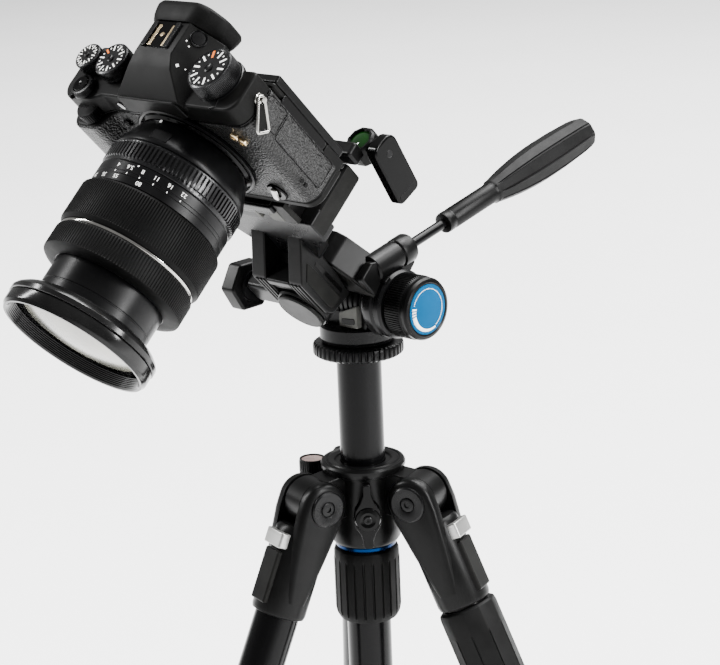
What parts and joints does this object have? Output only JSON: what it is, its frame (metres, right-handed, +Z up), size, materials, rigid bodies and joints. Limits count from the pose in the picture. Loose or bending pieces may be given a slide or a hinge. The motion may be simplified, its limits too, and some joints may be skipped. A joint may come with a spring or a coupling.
{
  "type": "camera on tripod",
  "caption": "Interchangeable-lens camera with a zoom lens, clamped to a three-way pan and tilt head on a folding twist-lock tripod with a sliding centre column.",
  "frame": {"origin": "on the floor under the centre column's axis", "axes": "+Z up; the lens points to -Y and down; +X is the camera's left, where the tilt knob is"},
  "size_m": [0.3517, 0.4098, 0.6564],
  "materials": {
    "battery_grey": "dark grey moulding",
    "black_metal": "satin black anodised",
    "black_plastic": "satin black moulding",
    "black_rubber": "matt black rubber",
    "blue": "blue printed face on a black knurled knob",
    "blue_metal": "blue anodised",
    "glass": "coated glass",
    "leather": "black grained wrap",
    "silver": "plain satin aluminium",
    "steel": "bright steel"
  },
  "bodies": {
    "hub": {"spider": "black_metal", "hub_level": "black_plastic", "collar_ring": "blue_metal"},
    "leg_1": {"leg_1_upper": "black_metal"},
    "leg_1_tab": {"leg_1_angle_tab": "silver"},
    "leg_1_lock": {"leg_1_twist_lock": "black_rubber"},
    "leg_1_section": {"leg_1_lower_tube": "black_metal", "leg_1_foot": "black_rubber"},
    "leg_2": {"leg_2_upper": "black_metal", "leg_2_grip": "black_rubber"},
    "leg_2_tab": {"leg_2_angle_tab": "silver"},
    "leg_2_lock": {"leg_2_twist_lock": "black_rubber"},
    "leg_2_section": {"leg_2_lower_tube": "black_metal", "leg_2_foot": "black_rubber"},
    "leg_3": {"leg_3_upper": "black_metal"},
    "leg_3_tab": {"leg_3_angle_tab": "silver"},
    "leg_3_lock": {"leg_3_twist_lock": "black_rubber"},
    "leg_3_section": {"leg_3_lower_tube": "black_metal", "leg_3_foot": "black_rubber"},
    "column_lever": {"column_lever": "black_plastic"},
    "column_collar": {"column_collar": "black_rubber"},
    "column": {"centre_column": "black_metal", "column_plate": "black_metal"},
    "pan": {"pan_body": "black_metal"},
    "pan_knob": {"pan_knob": "black_plastic"},
    "tilt": {"tilt_body": "black_metal", "side_tilt_cap": "black_metal"},
    "tilt_knob": {"tilt_knob": "blue"},
    "handle": {"handle_rod": "black_metal", "handle_grip": "black_rubber"},
    "camera": {"side_tilt_bracket": "black_metal", "clamp_body": "black_metal", "camera_plate": "black_metal", "plate_screw": "steel", "body_shell": "leather", "top_plate": "black_metal", "rear_cover": "black_plastic", "eyecup": "black_rubber", "battery": "battery_grey", "image_sensor": "battery_grey", "lens_barrel": "black_plastic"},
    "side_tilt_knob": {"side_tilt_knob": "black_plastic"},
    "clamp_lever": {"clamp_lever": "black_plastic"},
    "monitor": {"monitor": "black_plastic"},
    "port_door": {"port_door": "leather"},
    "sensitivity_dial": {"sensitivity_dial": "black_metal"},
    "shutter_speed_dial": {"shutter_speed_dial": "black_metal"},
    "exposure_dial": {"exposure_dial": "black_metal"},
    "power_switch": {"power_switch": "black_metal"},
    "shutter_button": {"shutter_button": "steel"},
    "strap_ring_left": {"strap_ring_left": "steel"},
    "strap_ring_right": {"strap_ring_right": "steel"},
    "aperture_ring": {"aperture_ring": "black_metal"},
    "zoom_ring": {"zoom_ring": "black_rubber"},
    "focus_ring": {"focus_ring": "black_rubber"},
    "inner_barrel": {"inner_barrel": "black_plastic", "front_ring": "black_plastic", "front_element": "glass"},
    "filter_ring": {"filter_ring": "black_metal"}
  },
  "joints": [
    {"name": "leg_1_spread", "type": "hinge", "parent": "hub", "child": "leg_1", "pos_m": [-0.00749, -0.03521, 0.35949], "axis": [-0.9781, 0.2079, 0], "range_deg": [-20.5, 0]},
    {"name": "leg_1_tab_pull", "type": "slide", "parent": "leg_1", "child": "leg_1_tab", "axis": [-0.1907, -0.897, 0.3987], "range_m": [0, 0.004]},
    {"name": "leg_1_lock_twist", "type": "hinge", "parent": "leg_1", "child": "leg_1_lock", "pos_m": [-0.03236, -0.15222, 0.08437], "axis": [-0.0829, -0.39, -0.9171], "range_deg": [0, 90]},
    {"name": "leg_1_extend", "type": "slide", "parent": "leg_1", "child": "leg_1_section", "axis": [-0.0829, -0.39, -0.9171], "range_m": [0, 0.17]},
    {"name": "leg_2_spread", "type": "hinge", "parent": "hub", "child": "leg_2", "pos_m": [0.03424, 0.01112, 0.35949], "axis": [0.309, -0.9511, 0], "range_deg": [-20.5, 0]},
    {"name": "leg_2_tab_pull", "type": "slide", "parent": "leg_2", "child": "leg_2_tab", "axis": [0.8722, 0.2834, 0.3987], "range_m": [0, 0.004]},
    {"name": "leg_2_lock_twist", "type": "hinge", "parent": "leg_2", "child": "leg_2_lock", "pos_m": [0.14801, 0.04809, 0.08437], "axis": [0.3792, 0.1232, -0.9171], "range_deg": [0, 90]},
    {"name": "leg_2_extend", "type": "slide", "parent": "leg_2", "child": "leg_2_section", "axis": [0.3792, 0.1232, -0.9171], "range_m": [0, 0.17]},
    {"name": "leg_3_spread", "type": "hinge", "parent": "hub", "child": "leg_3", "pos_m": [-0.02675, 0.02409, 0.35949], "axis": [0.6691, 0.7431, 0], "range_deg": [-20.5, 0]},
    {"name": "leg_3_tab_pull", "type": "slide", "parent": "leg_3", "child": "leg_3_tab", "axis": [-0.6815, 0.6136, 0.3987], "range_m": [0, 0.004]},
    {"name": "leg_3_lock_twist", "type": "hinge", "parent": "leg_3", "child": "leg_3_lock", "pos_m": [-0.11565, 0.10413, 0.08437], "axis": [-0.2963, 0.2668, -0.9171], "range_deg": [0, 90]},
    {"name": "leg_3_extend", "type": "slide", "parent": "leg_3", "child": "leg_3_section", "axis": [-0.2963, 0.2668, -0.9171], "range_m": [0, 0.17]},
    {"name": "column_lever_turn", "type": "hinge", "parent": "hub", "child": "column_lever", "pos_m": [0.01486, -0.01338, 0.35109], "axis": [0.7431, -0.6691, 0], "range_deg": [-15, 15]},
    {"name": "column_collar_twist", "type": "hinge", "parent": "hub", "child": "column_collar", "pos_m": [0, 0, 0.32499], "axis": [0, 0, 1], "range_deg": [0, 90]},
    {"name": "column_slide", "type": "slide", "parent": "hub", "child": "column", "axis": [0, 0, 1], "range_m": [-0.05, 0.08]},
    {"name": "pan", "type": "hinge", "parent": "column", "child": "pan", "pos_m": [0, 0, 0.45059], "axis": [0, 0, 1], "continuous": true},
    {"name": "pan_knob_turn", "type": "hinge", "parent": "pan", "child": "pan_knob", "pos_m": [-0.03, 0.0335, 0.46959], "axis": [0, 0, 1], "continuous": true},
    {"name": "tilt", "type": "hinge", "parent": "pan", "child": "tilt", "pos_m": [0, 0, 0.47679], "axis": [1, 0, 0], "range_deg": [-75, 16]},
    {"name": "tilt_knob_turn", "type": "hinge", "parent": "pan", "child": "tilt_knob", "pos_m": [0, 0, 0.47679], "axis": [1, 0, 0], "continuous": true},
    {"name": "handle_twist", "type": "hinge", "parent": "tilt", "child": "handle", "pos_m": [0.027, -0.00601, 0.50002], "axis": [0, 0.9681, 0.2504], "continuous": true},
    {"name": "side_tilt", "type": "hinge", "parent": "tilt", "child": "camera", "pos_m": [0, -0.02065, 0.49855], "axis": [0, -0.7254, -0.6884], "range_deg": [-30, 38]},
    {"name": "side_tilt_knob_turn", "type": "hinge", "parent": "camera", "child": "side_tilt_knob", "pos_m": [-0.039, -0.04223, 0.48497], "axis": [-1, 0, 0], "continuous": true},
    {"name": "clamp_lever_swing", "type": "hinge", "parent": "camera", "child": "clamp_lever", "pos_m": [0.048, -0.02591, 0.56801], "axis": [1, 0, 0], "range_deg": [0, 90]},
    {"name": "monitor_swing", "type": "hinge", "parent": "camera", "child": "monitor", "pos_m": [0.06, -0.08711, 0.59691], "axis": [0, 0.6884, -0.7254], "range_deg": [0, 170]},
    {"name": "port_door_swing", "type": "hinge", "parent": "camera", "child": "port_door", "pos_m": [0.062, -0.09745, 0.594], "axis": [0, -0.6884, 0.7254], "range_deg": [0, 110]},
    {"name": "sensitivity_dial_turn", "type": "hinge", "parent": "camera", "child": "sensitivity_dial", "pos_m": [0.0406, -0.12966, 0.61967], "axis": [0, -0.6884, 0.7254], "continuous": true},
    {"name": "shutter_speed_dial_turn", "type": "hinge", "parent": "camera", "child": "shutter_speed_dial", "pos_m": [-0.0391, -0.12894, 0.62036], "axis": [0, -0.6884, 0.7254], "continuous": true},
    {"name": "exposure_dial_turn", "type": "hinge", "parent": "camera", "child": "exposure_dial", "pos_m": [-0.058, -0.12894, 0.62036], "axis": [0, -0.6884, 0.7254], "continuous": true},
    {"name": "power_switch_turn", "type": "hinge", "parent": "camera", "child": "power_switch", "pos_m": [-0.0545, -0.14018, 0.60969], "axis": [0, -0.6884, 0.7254], "range_deg": [0, 30]},
    {"name": "shutter_press", "type": "slide", "parent": "camera", "child": "shutter_button", "axis": [0, 0.6884, -0.7254], "range_m": [0, 0.0002], "stiffness_N_per_m": 400},
    {"name": "strap_ring_left_swing", "type": "hinge", "parent": "camera", "child": "strap_ring_left", "pos_m": [0.062, -0.12352, 0.61131], "axis": [1, 0, 0], "range_deg": [-25, 25]},
    {"name": "strap_ring_right_swing", "type": "hinge", "parent": "camera", "child": "strap_ring_right", "pos_m": [-0.0715, -0.12693, 0.60807], "axis": [1, 0, 0], "range_deg": [-25, 25]},
    {"name": "aperture_turn", "type": "hinge", "parent": "camera", "child": "aperture_ring", "pos_m": [0.0024, -0.12951, 0.56358], "axis": [0, -0.7254, -0.6884], "range_deg": [-60, 60]},
    {"name": "zoom_turn", "type": "hinge", "parent": "camera", "child": "zoom_ring", "pos_m": [0.0024, -0.14837, 0.54568], "axis": [0, -0.7254, -0.6884], "range_deg": [-60, 20]},
    {"name": "focus_turn", "type": "hinge", "parent": "camera", "child": "focus_ring", "pos_m": [0.0024, -0.16744, 0.52757], "axis": [0, -0.7254, -0.6884], "range_deg": [-90, 90]},
    {"name": "zoom_travel", "type": "slide", "parent": "camera", "child": "inner_barrel", "axis": [0, -0.7254, -0.6884], "range_m": [-0.018, 0.006]},
    {"name": "filter_ring_turn", "type": "hinge", "parent": "inner_barrel", "child": "filter_ring", "pos_m": [0.0024, -0.19864, 0.49798], "axis": [0, -0.7254, -0.6884], "continuous": true}
  ],
  "couplings": [
    {"joint": "zoom_travel", "follows": "zoom_turn", "m_per_rad": 0.017189}
  ]
}
